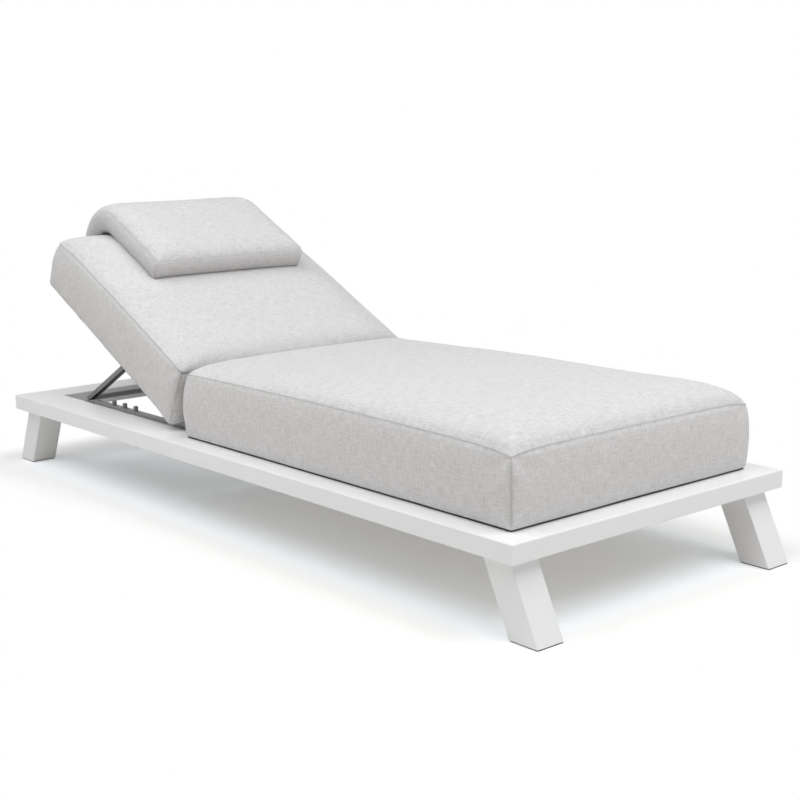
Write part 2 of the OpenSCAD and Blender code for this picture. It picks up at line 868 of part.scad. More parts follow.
// Near prop arm: a channel with its open side down, round at the pivot
module prop_arm() {
    color(grey)
        in_prop()
            difference() {
                union() {
                    translate([0, -arm_out, -arm_d / 2])
                        cube([link_l + arm_past, arm_w, arm_d]);
                    pin_y(arm_d, arm_in, arm_out);
                }
                translate([-arm_d, -arm_out + arm_wall, -arm_d / 2 - over])
                    cube([link_l + arm_past + arm_d + over, arm_w - 2 * arm_wall, arm_d - arm_wall + over]);
                pin_y(pivot_pin_d + 2 * fit, arm_in - over, arm_out + over);
            }
}

module prop_foot_bar() {
    color(grey)
        in_prop()
            translate([link_l, arm_in, 0])
                rotate([90, 0, 0])
                    cylinder(h = 2 * arm_in, d = foot_bar_d);
}

// Plastic plugs in the open ends of the prop arms
module prop_end_caps() {
    plug_l = 2 * arm_d;
    color(dark)
        in_prop()
            for (far = [false, true])
                on_side(far)
                    translate([link_l + arm_past - plug_l, -arm_out + arm_wall, -arm_d / 2])
                        cube([plug_l, arm_w - 2 * arm_wall, arm_d - arm_wall]);
}

// Inner path of the pillow as [u, w, turn]: along the back, round its end and down
pillow_run = pillow_bend_u - pillow_start;
pillow_run_shares = [0, 0.02, 0.06, 0.14, 0.3, 0.5, 0.7, 0.88];
pillow_flap_shares = [0.35, 0.8, 0.96, 1];
bend_steps = 8;
pillow_path = concat(
    [for (s = pillow_run_shares) [pillow_start + s * pillow_run, pillow_w0, 0, s * pillow_run]],
    [
        for (i = [0 : bend_steps]) let (a = pillow_turn * i / bend_steps)
            [
                pillow_bend_u + pillow_bend_r * sin(a),
                pillow_w0 - pillow_bend_r + pillow_bend_r * cos(a),
                a,
                pillow_run
            ]
    ],
    [
        for (s = pillow_flap_shares)
            [
                pillow_u1 + s * pillow_flap * cos(pillow_turn),
                pillow_w1 - s * pillow_flap * sin(pillow_turn),
                pillow_turn,
                (1 - s) * pillow_flap
            ]
    ]
);
pillow_base_steps = 16;
pillow_top_steps = 14;
pillow_edge_run = 11;

module head_pillow() {
    hy = pillow_w / 2;
    // The underside follows the crown of the back cushion
    function sag(y) = crown_h * crown_left(back_w / 2 - abs(y), 1);
    // The filling is thicker on top, and most where the pillow bends
    function filled(turn) = 1 + pillow_fill * pow(cos(turn), 2) + pillow_bunch * pow(sin(2 * turn), 2);
    function place(step, y, n) = [
        step[0] + n * filled(step[2]) * sin(step[2]),
        y,
        step[1] + n * filled(step[2]) * cos(step[2]) - sag(y) * cos(step[2])
    ];
    function rise(step, y) = pillow_crown
        * (1 - exp(-pow(step[3] / pillow_edge_run, crown_shape)))
        * (1 - exp(-pow((hy - abs(y)) / pillow_edge_run, crown_shape)))
        * (1 - 0.5 * sin(step[2]));
    ring_points = [
        for (step = pillow_path) concat(
            [for (i = [0 : pillow_base_steps]) place(step, -hy + pillow_w * i / pillow_base_steps, 0)],
            [
                for (i = [0 : pillow_top_steps])
                    let (y = hy * cos(180 * i / pillow_top_steps))
                        place(step, y, pillow_t + rise(step, y))
            ]
        )
    ];
    n = len(ring_points[0]);
    last = len(ring_points) - 1;
    middle = function (ring) [for (k = [0 : 2]) (ring[0][k] + ring[pillow_base_steps + 1][k]) / 2];
    points = concat(
        [for (ring = ring_points) each ring],
        [middle(ring_points[0])],
        [middle(ring_points[last])]
    );
    start_i = n * (last + 1);
    sides = [
        for (i = [0 : last - 1], j = [0 : n - 1]) let (
            a = i * n + j,
            b = i * n + (j + 1) % n
        ) each [[a, a + n, b + n], [a, b + n, b]]
    ];
    ends = [
        for (j = [0 : n - 1]) let (k = (j + 1) % n)
            each [[start_i, j, k], [start_i + 1, last * n + k, last * n + j]]
    ];
    color(cloth)
        in_back()
            polyhedron(points, concat(sides, ends), convexity = 6);
}

long_rail();  // rail_near
on_side(true) long_rail();  // rail_far
at_end(true) short_rail();  // rail_head
short_rail();  // rail_foot
at_end(true) leg();  // leg_head_near
at_end(true) on_side(true) leg();  // leg_head_far
leg();  // leg_foot_near
on_side(true) leg();  // leg_foot_far
at_end(true) leg_plate();  // leg_plate_head_near
at_end(true) on_side(true) leg_plate();  // leg_plate_head_far
leg_plate();  // leg_plate_foot_near
on_side(true) leg_plate();  // leg_plate_foot_far
at_end(true) glide();  // glide_head_near
at_end(true) on_side(true) glide();  // glide_head_far
glide();  // glide_foot_near
on_side(true) glide();  // glide_foot_far
leg_bolts();
leg_nuts();
hinge_beam();
seat_cross_bars();
seat_board();
seat_mat();
seat_cushion();
rack();  // rack_near
on_side(true) rack();  // rack_far
rack_pegs();
rack_end_blocks();
slide_ledge();  // slide_ledge_near
on_side(true) slide_ledge();  // slide_ledge_far
hinge_cheeks();  // hinge_cheeks_near
on_side(true) hinge_cheeks();  // hinge_cheeks_far
hinge_pins();
hinge_pin_clips();
back_bar();  // back_bar_near
on_side(true) back_bar();  // back_bar_far
back_cross_bar(back_frame_l - bar_w);  // back_head_bar
back_cross_bar(bar_start);  // back_foot_bar
back_slats();
hinge_ear();  // hinge_ear_near
on_side(true) hinge_ear();  // hinge_ear_far
hinge_bushes();
back_bumpers();
prop_pivot_pins();
prop_pivot_clips();
back_cushion();
prop_arm();  // prop_arm_near
on_side(true) prop_arm();  // prop_arm_far
prop_foot_bar();
prop_end_caps();
head_pillow();
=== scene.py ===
import bpy
import math
import numpy as np
from mathutils import Matrix, Vector, noise


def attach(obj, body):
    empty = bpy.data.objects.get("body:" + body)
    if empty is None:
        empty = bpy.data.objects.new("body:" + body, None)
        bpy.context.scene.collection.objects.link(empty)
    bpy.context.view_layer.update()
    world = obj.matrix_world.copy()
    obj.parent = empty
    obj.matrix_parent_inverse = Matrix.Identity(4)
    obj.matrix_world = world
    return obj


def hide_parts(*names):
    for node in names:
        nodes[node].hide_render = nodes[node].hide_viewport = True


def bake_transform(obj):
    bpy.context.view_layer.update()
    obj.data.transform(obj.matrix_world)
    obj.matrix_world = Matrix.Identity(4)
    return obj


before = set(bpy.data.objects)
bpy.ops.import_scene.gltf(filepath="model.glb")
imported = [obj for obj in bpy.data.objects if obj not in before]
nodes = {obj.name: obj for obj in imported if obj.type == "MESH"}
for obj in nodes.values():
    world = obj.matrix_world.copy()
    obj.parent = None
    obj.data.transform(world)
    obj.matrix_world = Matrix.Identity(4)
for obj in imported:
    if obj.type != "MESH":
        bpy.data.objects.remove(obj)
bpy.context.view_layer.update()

# ---------------------------------------------------------------- the view
# The lounger stands on a white studio floor, seen from its foot end and a
# little above, from the near side.
view_from = Vector((2.7147, -2.1011, 0.9294))
view_yaw, view_pitch, view_roll = math.radians(139.95), math.radians(11.03), math.radians(0.903)
ahead = Vector((
    math.cos(view_yaw) * math.cos(view_pitch),
    math.sin(view_yaw) * math.cos(view_pitch),
    -math.sin(view_pitch),
))
across = ahead.cross(Vector((0, 0, 1))).normalized()
over = across.cross(ahead)
right = across * math.cos(view_roll) - over * math.sin(view_roll)
up = across * math.sin(view_roll) + over * math.cos(view_roll)
camera = bpy.data.objects.new("camera", bpy.data.cameras.new("camera"))
bpy.context.scene.collection.objects.link(camera)
camera.data.sensor_width = 36
camera.data.lens = 63.43
camera.data.clip_end = 100
view_turn = Matrix((right, up, -ahead)).transposed().to_4x4()
camera.matrix_world = Matrix.Translation(view_from) @ view_turn
bpy.context.scene.camera = camera

# ---------------------------------------------------------------- legs and rails
# Square steel legs and a mitred frame of rectangular steel tube, powder
# coated satin white: a fine orange-peel skin, a shade duller where hands
# and shoes rub it.


def add_node(tree, kind, links=(), **values):
    made = tree.nodes.new(kind)
    for key, value in values.items():
        if key.startswith("in_"):
            made.inputs[key[3:].replace("_", " ")].default_value = value
        else:
            setattr(made, key, value)
    for output, name in links:
        tree.links.new(output, made.inputs[name])
    return made


def new_finish(name):
    finish = bpy.data.materials.new(name)
    finish.use_nodes = True
    tree = finish.node_tree
    return finish, tree, tree.nodes["Principled BSDF"]


def ramp(tree, fac, low, high, low_colour, high_colour):
    made = add_node(tree, "ShaderNodeValToRGB", [(fac, "Fac")])
    made.color_ramp.elements[0].position = low
    made.color_ramp.elements[1].position = high
    made.color_ramp.elements[0].color = (*low_colour, 1)
    made.color_ramp.elements[1].color = (*high_colour, 1)
    return made.outputs["Color"]


def powder_coat(name, light, dark, rough_low, rough_high, peel):
    finish, tree, shader = new_finish(name)
    place = add_node(tree, "ShaderNodeTexCoord").outputs["Object"]
    wide = add_node(tree, "ShaderNodeTexNoise", [(place, "Vector")], in_Scale=9.0, in_Detail=4.0)
    skin = add_node(tree, "ShaderNodeTexNoise", [(place, "Vector")], in_Scale=520.0, in_Detail=2.0)
    colour = ramp(tree, wide.outputs["Fac"], 0.3, 0.7, dark, light)
    rough = add_node(
        tree, "ShaderNodeMapRange", [(wide.outputs["Fac"], "Value")],
        in_From_Min=0.3, in_From_Max=0.7, in_To_Min=rough_low, in_To_Max=rough_high,
    )
    bump = add_node(
        tree, "ShaderNodeBump", [(skin.outputs["Fac"], "Height")],
        in_Strength=peel, in_Distance=0.0004,
    )
    tree.links.new(colour, shader.inputs["Base Color"])
    tree.links.new(rough.outputs["Result"], shader.inputs["Roughness"])
    tree.links.new(bump.outputs["Normal"], shader.inputs["Normal"])
    return finish


def dress(finish, *names):
    for name in names:
        part = nodes[name]
        part.data.materials.clear()
        part.data.materials.append(finish)


white_coat = powder_coat(
    "white_powder_coat", (0.93, 0.93, 0.93), (0.91, 0.91, 0.91), 0.36, 0.46, 0.12,
)
corners = ["head_near", "head_far", "foot_near", "foot_far"]
dress(white_coat, "rail_near", "rail_far", "rail_head", "rail_foot", "seat_cross_bars")
dress(white_coat, *["leg_" + c for c in corners], *["leg_plate_" + c for c in corners])

# ---------------------------------------------------------------- glides
# Black moulded nylon, pushed into the open ends of the legs. The hinge
# bushes and the caps on the prop's foot bar are the same moulding.


def moulded(name, colour, rough, grain, scale):
    finish, tree, shader = new_finish(name)
    place = add_node(tree, "ShaderNodeTexCoord").outputs["Object"]
    fine = add_node(tree, "ShaderNodeTexNoise", [(place, "Vector")], in_Scale=scale, in_Detail=3.0)
    bright = tuple(c * 1.35 for c in colour)
    speckle = ramp(tree, fine.outputs["Fac"], 0.3, 0.75, colour, bright)
    tree.links.new(speckle, shader.inputs["Base Color"])
    bump = add_node(
        tree, "ShaderNodeBump", [(fine.outputs["Fac"], "Height")],
        in_Strength=grain, in_Distance=0.0004,
    )
    tree.links.new(bump.outputs["Normal"], shader.inputs["Normal"])
    shader.inputs["Roughness"].default_value = rough
    return finish


black_nylon = moulded("black_nylon", (0.03, 0.03, 0.032), 0.55, 0.25, 700.0)
dress(black_nylon, *["glide_" + c for c in corners], "hinge_bushes", "prop_end_caps")

# ---------------------------------------------------------------- bolts and pins
# Zinc-plated steel: the leg bolts with their nuts, the hinge pins and the
# prop's pivot pins with their clips.
zinc, zinc_tree, zinc_shader = new_finish("zinc_plate")
zinc_place = add_node(zinc_tree, "ShaderNodeTexCoord").outputs["Object"]
zinc_haze = add_node(
    zinc_tree, "ShaderNodeTexNoise", [(zinc_place, "Vector")], in_Scale=160.0, in_Detail=5.0,
)
zinc_tree.links.new(
    ramp(zinc_tree, zinc_haze.outputs["Fac"], 0.35, 0.7, (0.50, 0.51, 0.53), (0.66, 0.67, 0.68)),
    zinc_shader.inputs["Base Color"],
)
zinc_dull = add_node(
    zinc_tree, "ShaderNodeMapRange", [(zinc_haze.outputs["Fac"], "Value")],
    in_From_Min=0.3, in_From_Max=0.7, in_To_Min=0.26, in_To_Max=0.42,
)
zinc_tree.links.new(zinc_dull.outputs["Result"], zinc_shader.inputs["Roughness"])
zinc_shader.inputs["Metallic"].default_value = 1.0
dress(
    zinc, "leg_bolts", "leg_nuts", "hinge_pins", "hinge_pin_clips",
    "prop_pivot_pins", "prop_pivot_clips",
)

# ---------------------------------------------------------------- seat board
# Birch plywood, cut to the inside of the platform and laid on the cross
# bars, its grain running along the lounger.
ply, ply_tree, ply_shader = new_finish("birch_plywood")
ply_place = add_node(ply_tree, "ShaderNodeTexCoord").outputs["Object"]
ply_stretch = add_node(ply_tree, "ShaderNodeMapping", [(ply_place, "Vector")])
ply_stretch.inputs["Scale"].default_value = (1.2, 22.0, 22.0)
ply_grain = add_node(
    ply_tree, "ShaderNodeTexNoise", [(ply_stretch.outputs["Vector"], "Vector")],
    in_Scale=4.0, in_Detail=8.0, in_Distortion=0.6,
)
ply_tree.links.new(
    ramp(ply_tree, ply_grain.outputs["Fac"], 0.35, 0.7, (0.50, 0.42, 0.32), (0.68, 0.60, 0.49)),
    ply_shader.inputs["Base Color"],
)
ply_bump = add_node(
    ply_tree, "ShaderNodeBump", [(ply_grain.outputs["Fac"], "Height")],
    in_Strength=0.2, in_Distance=0.0006,
)
ply_tree.links.new(ply_bump.outputs["Normal"], ply_shader.inputs["Normal"])
ply_shader.inputs["Roughness"].default_value = 0.5
dress(ply, "seat_board")

# ---------------------------------------------------------------- mat and bumpers
# Black rubber: a thin mat that keeps the seat cushion from sliding on its
# board, and two stops glued under the back frame.
black_rubber = moulded("black_rubber", (0.028, 0.027, 0.026), 0.75, 0.4, 420.0)
dress(black_rubber, "seat_mat", "back_bumpers")

# ---------------------------------------------------------------- rack, back frame and prop
# The steel parts of the back's mechanism, welded up from flat bar and tube
# and powder coated mid grey.
grey_coat = powder_coat(
    "grey_powder_coat", (0.25, 0.25, 0.257), (0.21, 0.21, 0.217), 0.38, 0.5, 0.25,
)
dress(
    grey_coat, "hinge_beam", "rack_near", "rack_far", "rack_pegs", "rack_end_blocks",
    "slide_ledge_near", "slide_ledge_far", "hinge_cheeks_near", "hinge_cheeks_far",
    "back_bar_near", "back_bar_far", "back_head_bar", "back_foot_bar", "back_slats",
    "hinge_ear_near", "hinge_ear_far", "prop_arm_near", "prop_arm_far", "prop_foot_bar",
)

# ---------------------------------------------------------------- cover cloth
# A plain weave of light warm grey melange yarn, with thicker slubs in both
# directions. It follows each panel's own cut, and takes painted shade from the
# cover's seam attribute: in the seam grooves, in the hinge joint and under the cushion.
cloth, cloth_tree, cloth_shader = new_finish("melange_cloth")
cut = add_node(cloth_tree, "ShaderNodeUVMap", uv_map="cut").outputs["UV"]


def yarn(scale_x, scale_y, detail):
    stretch = add_node(cloth_tree, "ShaderNodeMapping", [(cut, "Vector")])
    stretch.inputs["Scale"].default_value = (scale_x, scale_y, 1.0)
    return add_node(
        cloth_tree, "ShaderNodeTexNoise", [(stretch.outputs["Vector"], "Vector")],
        in_Scale=1.0, in_Detail=detail, in_Roughness=0.6,
    ).outputs["Fac"]


def blend_math(kind, a, b):
    made = add_node(cloth_tree, "ShaderNodeMath", operation=kind)
    for place, value in enumerate((a, b)):
        if isinstance(value, (int, float)):
            made.inputs[place].default_value = value
        else:
            cloth_tree.links.new(value, made.inputs[place])
    return made.outputs["Value"]


weft_slub = yarn(42.0, 340.0, 4.0)
warp_slub = yarn(340.0, 42.0, 4.0)
slub = blend_math("MULTIPLY", blend_math("ADD", weft_slub, warp_slub), 0.5)
patch = add_node(cloth_tree, "ShaderNodeTexNoise", [(cut, "Vector")], in_Scale=14.0, in_Detail=3.0)
tone = blend_math("ADD", slub, blend_math("MULTIPLY", patch.outputs["Fac"], 0.07))
body_colour = ramp(cloth_tree, tone, 0.36, 0.71, (0.591, 0.580, 0.571), (0.857, 0.846, 0.840))
# painted shade: the cover's seam attribute mixes the cloth towards near black, for the shade in
# seam grooves, in the hinge joint and under the cushion
seam_shade_mark = add_node(cloth_tree, "ShaderNodeAttribute", attribute_name="seam").outputs["Fac"]
seam_shade_share = blend_math("MULTIPLY", seam_shade_mark, 0.21)
shaded = add_node(cloth_tree, "ShaderNodeMix", data_type="RGBA")
cloth_tree.links.new(seam_shade_share, shaded.inputs["Factor"])
cloth_tree.links.new(body_colour, shaded.inputs["A"])
shaded.inputs["B"].default_value = (0.05, 0.048, 0.046, 1)
cloth_tree.links.new(shaded.outputs["Result"], cloth_shader.inputs["Base Color"])
wefts = add_node(
    cloth_tree, "ShaderNodeTexWave", [(cut, "Vector")],
    bands_direction="X", in_Scale=230.0, in_Distortion=1.2,
).outputs["Fac"]
warps = add_node(
    cloth_tree, "ShaderNodeTexWave", [(cut, "Vector")],
    bands_direction="Y", in_Scale=230.0, in_Distortion=1.2,
).outputs["Fac"]
relief = blend_math("ADD", blend_math("MULTIPLY", wefts, warps), blend_math("MULTIPLY", slub, 1.6))
cloth_bump = add_node(
    cloth_tree, "ShaderNodeBump", [(relief, "Height")], in_Strength=0.35, in_Distance=0.0006,
)
cloth_tree.links.new(cloth_bump.outputs["Normal"], cloth_shader.inputs["Normal"])
cloth_shader.inputs["Roughness"].default_value = 0.92
cloth_shader.inputs["Specular IOR Level"].default_value = 0.2
cloth_shader.inputs["Sheen Weight"].default_value = 0.12
cloth_shader.inputs["Sheen Roughness"].default_value = 0.5

# ---------------------------------------------------------------- seat cushion
# A foam block in a boxed cover: one crowned top panel that arches over the
# hinge end, upright side panels sewn to it, and a thin seam down each corner.
seat_head = -0.178
seat_length = 1.123
seat_width = 0.706
seat_side = 0.150
seat_floor = 0.1965
seat_roll = (0.028, 0.053)
seat_turns = (0.014, 0.007)
seat_fuller, fuller_run = 0.003, 0.4

# the top: how high it is crowned, and over what run it falls to its seams
crown, crown_slack, crown_run = 0.044, 0.002, 0.040
hinge_crown, hinge_run, hinge_reach = 0.031, 0.060, 0.53
shoulder, shoulder_run = 0.15, 0.006
corner_falls, corner_fall_run = (0.003, 0.010), 0.048

# the side panels: how far they swell, draw in along their middle, and are
# pulled in under the top seam and above the board
side_swell = 0.007
side_draw = 0.002
top_pull, pull_from, pull_over = 0.0030, 0.84, 0.16
top_tuck, tuck_run = 0.0018, 0.005
bottom_r = 0.006
bottom_insets = (0.0085, 0.0038, 0.0016)
base_high, base_held = 0.0021, 0.008

# the seams: their groove and how high the side seam runs; and painted shade
# on the cloth beside the seams, in the joint at the hinge end and under the cushion
seam_deep, seam_sink, welt_hold = 0.0007, 0.4, 0.6
seam_rise, seam_peak, seam_past = 0.0085, 0.35, 0.65
seam_shade, upright_seam_shade, seam_shade_spread = 0.5, 2.2, 0.0013
joint_shade, joint_run = 2.3, 0.017
under_shade = 3.9

# the cells of the cover: close rings at its edges, even ones between
edge_rings = [0, 0.0012, 0.0040, 0.0088, 0.0100, 0.0112, 0.016, 0.022, 0.029]
low_rings = [0, 0.0018, 0.0032, bottom_r]
high_rings = [0.0112, 0.0100, 0.0088, 0.0040, 0.0012, 0]
side_cells = 9
cover_cell = 0.015
welt_ring = 4


def steps_between(length, fine, cell):
    """Places along an edge: the fine ones at both ends and even cells between."""
    inner = length - 2 * fine[-1]
    count = max(2, round(inner / cell))
    middle = [fine[-1] + inner * i / count for i in range(1, count)]
    return np.array([*fine, *middle, *[length - f for f in reversed(fine)]])


def skin(nx, ny, nz):
    """Points and faces of the surface of a block of cells, as lattice numbers."""
    index, faces = {}, []

    def at(i, j, k):
        return index.setdefault((i, j, k), len(index))

    def face(panel, *corners):
        faces.append((panel, *[at(*corner) for corner in corners]))

    for i in range(nx):
        for j in range(ny):
            face("bottom", (i, j, 0), (i, j + 1, 0), (i + 1, j + 1, 0), (i + 1, j, 0))
            face("top", (i, j, nz), (i + 1, j, nz), (i + 1, j + 1, nz), (i, j + 1, nz))
    for k in range(nz):
        for i in range(nx):
            face("side", (i, 0, k), (i + 1, 0, k), (i + 1, 0, k + 1), (i, 0, k + 1))
            face("side", (i + 1, ny, k), (i, ny, k), (i, ny, k + 1), (i + 1, ny, k + 1))
        for j in range(ny):
            face("end", (0, j + 1, k), (0, j, k), (0, j, k + 1), (0, j + 1, k + 1))
            face("end", (nx, j, k), (nx, j + 1, k), (nx, j + 1, k + 1), (nx, j, k + 1))
    return np.array(list(index)), faces


def rounded(x, y, hx, hy, r):
    """A rectangle's points, drawn in so that its corners have radius r."""
    a = np.clip((np.abs(x) - (hx - r)) / r, 0, 1)
    b = np.clip((np.abs(y) - (hy - r)) / r, 0, 1)
    inside = (a > 0) & (b > 0)
    nx = np.where(inside, np.sign(x) * (hx - r + r * a * np.sqrt(1 - b * b / 2)), x)
    ny = np.where(inside, np.sign(y) * (hy - r + r * b * np.sqrt(1 - a * a / 2)), y)
    return nx, ny


def crown_short(t):
    """How much the crown still has to grow, at a share of the way from the hinge end."""
    return np.maximum(1 - t / hinge_reach, 0) ** 1.5


def crown_left(d, t):
    """How far the top is still below its crown, as a share, at distance d from a seam."""
    run = crown_run + (hinge_run - crown_run) * crown_short(t)
    d = np.maximum(d, 0)
    return (1 - shoulder) * np.exp(-np.power(d / run, 0.85)) + shoulder * np.exp(-d / shoulder_run)


def near_seam(d):
    """The painted shade of the cloth at distance d from a seam, for the shade in its groove."""
    return seam_shade * np.exp(-((d / seam_shade_spread) ** 2))


def seam_lift(t):
    """How much higher the side seam runs, at a share of the way from the hinge end."""
    return seam_rise * (1 - (np.maximum(t - seam_peak, 0) / seam_past) ** 2)


def cover_form(length, width, side, lean, roll, dip, falls, turns, seams, welt):
    """Points, faces, seam holds, painted shade marks and cut of a boxed cover.

    x runs from the hinge end, and z from the board. falls, turns and seams
    each give the hinge end's value first, then the other end's. roll and dip
    are a run and a depth at the hinge end."""
    xs = steps_between(length, edge_rings, cover_cell)
    ys = steps_between(width, edge_rings, cover_cell)
    high = [side - d for d in high_rings]
    between = [bottom_r + (high[0] - bottom_r) * n / side_cells for n in range(1, side_cells)]
    zs = np.array([*low_rings, *between, *high])
    nx, ny, nz = len(xs) - 1, len(ys) - 1, len(zs) - 1
    lattice, faces = skin(nx, ny, nz)
    i, j, k = lattice.T
    hx, hy = length / 2, width / 2
    x, y, z = xs[i] - hx, ys[j] - hy, zs[k].copy()
    turn = np.where(x < 0, turns[0], turns[1])
    px, py = rounded(x, y, hx, hy, turn)

    # outward direction in plan, for the swell of the side panels
    ax = np.where(np.isin(i, (0, nx)), np.sign(x), 0.0)
    ay = np.where(np.isin(j, (0, ny)), np.sign(y), 0.0)
    cx = np.clip((np.abs(x) - (hx - turn)) / turn, 0, 1) * np.sign(x)
    cy = np.clip((np.abs(y) - (hy - turn)) / turn, 0, 1) * np.sign(y)
    dx = np.where(ax != 0, ax, cx)
    dy = np.where(ay != 0, ay, cy)
    size = np.maximum(np.hypot(dx, dy), 1e-9)
    dx, dy = dx / size, dy / size
    edge = (ax != 0) | (ay != 0)

    level = np.clip(z / side, 0, 1)
    out = side_swell * np.sin(np.pi * level ** 1.06) ** 0.8
    out = np.where(level >= 1, 0, out)
    for ring, inset in enumerate(bottom_insets):
        out = np.where(k == ring, -inset, out)
    pull = top_pull * np.maximum((level - pull_from) / pull_over, 0) ** 2
    tuck = top_tuck * np.exp((z - side) / tuck_run)
    out -= (pull + tuck) * (level < 1)
    draw = side_draw * np.where(ay != 0, 1 - (x / hx) ** 2, 1 - (y / hy) ** 2)
    out = np.where(edge, out - draw * np.sin(np.pi * level) ** 0.5, 0)
    px, py = px + dx * out, py + dy * out

    # crowned top that rolls down at the hinge end, and seams that fall to the corners
    top = k == nz
    t = x / length + 0.5
    left_x, left_y = crown_left(hx - x, 1), crown_left(hy - np.abs(y), t)
    left = np.minimum((left_x ** 4 + left_y ** 4) ** 0.25, 1)
    left = np.where((ax > 0) | (ay != 0), 1, left)
    to_corner = np.hypot(hx - np.abs(x), hy - np.abs(y))
    fall = np.where(x < 0, falls[0], falls[1]) * np.exp(-to_corner / corner_fall_run)
    rise = crown - crown_slack - (crown - hinge_crown) * crown_short(t)
    rise = rise * (1 - dip[1] * np.maximum(1 - (x + hx) / dip[0], 0) ** 2)
    down = roll[1] * np.maximum(1 - (x + hx) / roll[0], 0) ** 2
    grow = rise * (1 - left) + (seam_lift(t) - fall) * left - down
    z = z + grow * np.where(top, 1, level ** 2)

    # grooves: where two panels meet the sewing pulls them in
    hold = np.where(top & edge, 1.0, 0.0)
    at_corner = (ax != 0) & (ay != 0)
    sewn = np.where(x < 0, seams[0], seams[1]) > 0
    above_base = k > 2
    hold = np.where(at_corner & sewn & above_base, 1.0, hold)
    welt_y, welt_z = (welt_ring, ny - welt_ring), nz - welt_ring
    upright = (i == 0) & np.isin(j, welt_y) & above_base & (k <= welt_z)
    level_run = (i == 0) & (j >= welt_y[0]) & (j <= welt_y[1]) & (k == welt_z)
    hold = np.where((upright | level_run) & welt, welt_hold, hold)
    px, py = px - dx * seam_deep * hold, py - dy * seam_deep * hold
    z = z - np.where(top & edge, seam_deep * seam_sink, 0)

    # the painted shade of each seam's groove spreads a little to both sides of it
    from_x, from_y = hx - np.abs(x), hy - np.abs(y)
    from_edge = np.where(top, np.minimum(from_x, from_y), side - zs[k])
    from_corner = np.where(ax != 0, from_y, from_x)
    mark = np.where(top | edge, near_seam(from_edge), 0.0)
    upright_mark = upright_seam_shade * near_seam(from_corner)
    upright_mark = np.where(edge & ~top & sewn & above_base, upright_mark, 0)
    mark = np.maximum(np.maximum(mark, upright_mark), seam_shade * hold)
    if dip[1] > 0:
        # painted shade: cloth that lies in the joint at the hinge end is darkened, for the shade in
        # the joint beside the seat cushion
        joint = joint_shade * np.exp(-(x + hx) / joint_run) * np.clip((level - 0.35) / 0.4, 0, 1)
        mark = mark + joint * np.where(top | (k == nz - 1), 1, 0.5)
    px = (px + hx) * (1 + lean * (0.5 - z / side) / length)
    return np.column_stack((px, py, z)), faces, hold, mark, (x, y, zs[k])


def sew(name, points, faces, mark, cut_at):
    """A mesh object from a cover's form, with its painted seam shade and each panel's cut."""
    mesh = bpy.data.meshes.new(name)
    mesh.from_pydata([tuple(p) for p in points], [], [f[1:] for f in faces])
    made = bpy.data.objects.new(name, mesh)
    bpy.context.scene.collection.objects.link(made)
    mesh.attributes.new("seam", "FLOAT", "POINT").data.foreach_set("value", mark.astype(np.float32))
    cx, cy, cz = cut_at
    flat = {
        "top": (cx, cy), "bottom": (cx + 0.37, cy + 0.21),
        "side": (cx + 0.11, cz + 0.53), "end": (cy + 0.71, cz + 0.13),
    }
    uv = mesh.uv_layers.new(name="cut").data
    for panel, polygon in zip((f[0] for f in faces), mesh.polygons):
        u, v = flat[panel]
        for loop in polygon.loop_indices:
            n = mesh.loops[loop].vertex_index
            uv[loop].uv = (u[n], v[n])
    return made


def fill_out(made, held, reach, frames=18):
    """Blows the cover up against its held seams with cloth pressure, by reach at most."""
    before = np.array([v.co for v in made.data.vertices])
    pins = made.vertex_groups.new(name="held")
    for n, weight in enumerate(held):
        if weight > 0:
            pins.add([n], float(weight), "REPLACE")
    stuffing = made.modifiers.new("stuffing", "CLOTH")
    settings = stuffing.settings
    settings.quality = 6
    settings.mass = 0.25
    settings.tension_stiffness = 20
    settings.compression_stiffness = 20
    settings.shear_stiffness = 8
    settings.bending_stiffness = 2.0
    settings.use_pressure = True
    settings.uniform_pressure_force = 4.0
    settings.vertex_group_mass = "held"
    settings.effector_weights.gravity = 0
    stuffing.collision_settings.use_collision = False
    stuffing.point_cache.frame_start = 1
    stuffing.point_cache.frame_end = frames
    for f in range(1, frames + 1):
        bpy.context.scene.frame_set(f)
    ready = made.evaluated_get(bpy.context.evaluated_depsgraph_get())
    after = np.array([v.co for v in ready.data.vertices])
    made.modifiers.remove(stuffing)
    made.vertex_groups.remove(pins)
    bpy.context.scene.frame_set(1)
    move = after - before
    far = np.maximum(np.linalg.norm(move, axis=1), 1e-9)
    move *= (reach * np.tanh(far / reach) / far)[:, None]
    made.data.vertices.foreach_set("co", (before + move).astype(np.float32).ravel())
    made.data.update()


def finish_cover(made, ripple, seed):
    """One subdivision, then the slight unevenness of hand-filled covers."""
    bpy.ops.object.select_all(action="DESELECT")
    bpy.context.view_layer.objects.active = made
    made.select_set(True)
    finer = made.modifiers.new("finer", "SUBSURF")
    finer.levels = finer.render_levels = 1
    finer.boundary_smooth = "PRESERVE_CORNERS"
    bpy.ops.object.modifier_apply(modifier=finer.name)
    mesh = made.data
    moved = []
    for v in mesh.vertices:
        p = v.co + Vector((seed, 0, 0))
        swell = noise.noise(p * 5.0) * ripple + noise.noise(p * 14.0) * ripple * 0.35
        moved.append(v.co + v.normal * swell)
    mesh.vertices.foreach_set("co", [c for p in moved for c in p])
    mesh.update()
    mesh.materials.append(cloth)
    bpy.ops.object.mode_set(mode="EDIT")
    bpy.ops.mesh.select_all(action="SELECT")
    bpy.ops.mesh.normals_make_consistent(inside=False)
    bpy.ops.object.mode_set(mode="OBJECT")
    bpy.ops.object.shade_smooth()
    made.select_set(False)


points, faces, hold, mark, cut_at = cover_form(
    seat_length, seat_width, seat_side, lean=0.0, roll=seat_roll, dip=(0.05, 0.0),
    falls=corner_falls, turns=seat_turns, seams=(0, 1), welt=False,
)
